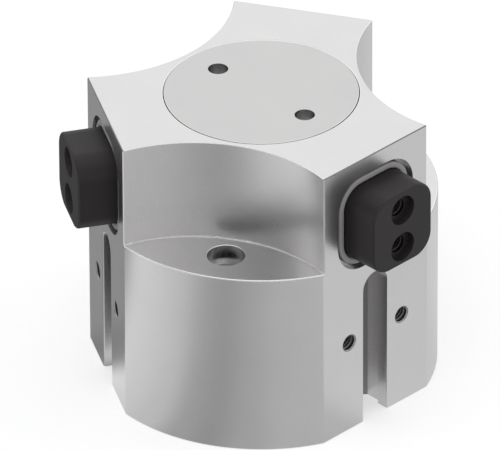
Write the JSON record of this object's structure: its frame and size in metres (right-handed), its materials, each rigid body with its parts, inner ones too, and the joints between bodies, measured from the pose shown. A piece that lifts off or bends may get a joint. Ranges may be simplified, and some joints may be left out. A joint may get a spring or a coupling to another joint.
{
  "type": "three jaw centric gripper",
  "caption": "Round pneumatic gripper head with parallel jaws that close together on its axis, scalloped top, sensor slots and threaded holes in its flats.",
  "frame": {"origin": "centre of the three mounting holes on the base face", "axes": "+Z along the round body's axis, out through the top cover; +X along the travel of jaw 1, outward; jaws 2 and 3 lie at 120 and 240 degrees"},
  "size_m": [0.0595, 0.0608, 0.0493],
  "materials": {
    "body_aluminium": "hard anodised, satin",
    "cover_aluminium": "turned and anodised, satin",
    "cap_aluminium": "turned, anodised",
    "piston_aluminium": "turned",
    "jaw_steel": "hardened and blackened, satin",
    "guide_steel": "ground",
    "hardened_steel": "hardened and ground",
    "pin_steel": "ground",
    "carrier_steel": "milled",
    "plate_steel": "stamped stainless",
    "screw_steel": "black oxide",
    "spring_steel": "phosphated spring steel",
    "rod_chrome": "hard chromed",
    "bush_bronze": "sintered bronze",
    "magnet": "sintered",
    "seal_rubber": "moulded",
    "bumper_rubber": "moulded",
    "wear_plastic": "moulded"
  },
  "bodies": {
    "housing": {"housing": "body_aluminium", "top_cover": "cover_aluminium", "end_cap": "cap_aluminium", "end_cap_seal": "seal_rubber", "retaining_ring": "spring_steel", "rod_bush": "bush_bronze", "rod_seal": "seal_rubber", "lever_carrier": "carrier_steel", "carrier_screws": "screw_steel", "jaw_guide_1": "guide_steel", "lever_pin_1": "pin_steel", "jaw_guide_2": "guide_steel", "lever_pin_2": "pin_steel", "jaw_guide_3": "guide_steel", "lever_pin_3": "pin_steel"},
    "piston": {"piston": "piston_aluminium", "wear_ring": "wear_plastic", "piston_seal": "seal_rubber", "piston_magnet": "magnet", "magnet_plate": "plate_steel", "upper_bumper": "bumper_rubber", "piston_rod": "rod_chrome", "rod_head": "hardened_steel", "rod_head_screw": "screw_steel", "piston_screw": "screw_steel"},
    "lever_1": {"lever_1": "hardened_steel"},
    "jaw_1": {"jaw_1": "jaw_steel"},
    "lever_2": {"lever_2": "hardened_steel"},
    "jaw_2": {"jaw_2": "jaw_steel"},
    "lever_3": {"lever_3": "hardened_steel"},
    "jaw_3": {"jaw_3": "jaw_steel"}
  },
  "joints": [
    {"name": "piston_slide", "type": "slide", "parent": "housing", "child": "piston", "axis": [0, 0, 1], "range_m": [-0.00285, 0]},
    {"name": "lever_1_pivot", "type": "hinge", "parent": "housing", "child": "lever_1", "pos_m": [0.012, 0, 0.02695], "axis": [0, 1, 0], "range_deg": [-24.21, 0]},
    {"name": "jaw_1_slide", "type": "slide", "parent": "housing", "child": "jaw_1", "axis": [1, 0, 0], "range_m": [-0.0039, 0]},
    {"name": "lever_2_pivot", "type": "hinge", "parent": "housing", "child": "lever_2", "pos_m": [-0.006, 0.01039, 0.02695], "axis": [-0.866, -0.5, 0], "range_deg": [-24.21, 0]},
    {"name": "jaw_2_slide", "type": "slide", "parent": "housing", "child": "jaw_2", "axis": [-0.5, 0.866, 0], "range_m": [-0.0039, 0]},
    {"name": "lever_3_pivot", "type": "hinge", "parent": "housing", "child": "lever_3", "pos_m": [-0.006, -0.01039, 0.02695], "axis": [0.866, -0.5, 0], "range_deg": [-24.21, 0]},
    {"name": "jaw_3_slide", "type": "slide", "parent": "housing", "child": "jaw_3", "axis": [-0.5, -0.866, 0], "range_m": [-0.0039, 0]}
  ],
  "couplings": [
    {"joint": "lever_1_pivot", "follows": "piston_slide", "rad_per_m": 148.16},
    {"joint": "jaw_1_slide", "follows": "piston_slide", "ratio": 1.3676},
    {"joint": "lever_2_pivot", "follows": "piston_slide", "rad_per_m": 148.16},
    {"joint": "jaw_2_slide", "follows": "piston_slide", "ratio": 1.3676},
    {"joint": "lever_3_pivot", "follows": "piston_slide", "rad_per_m": 148.16},
    {"joint": "jaw_3_slide", "follows": "piston_slide", "ratio": 1.3676}
  ]
}
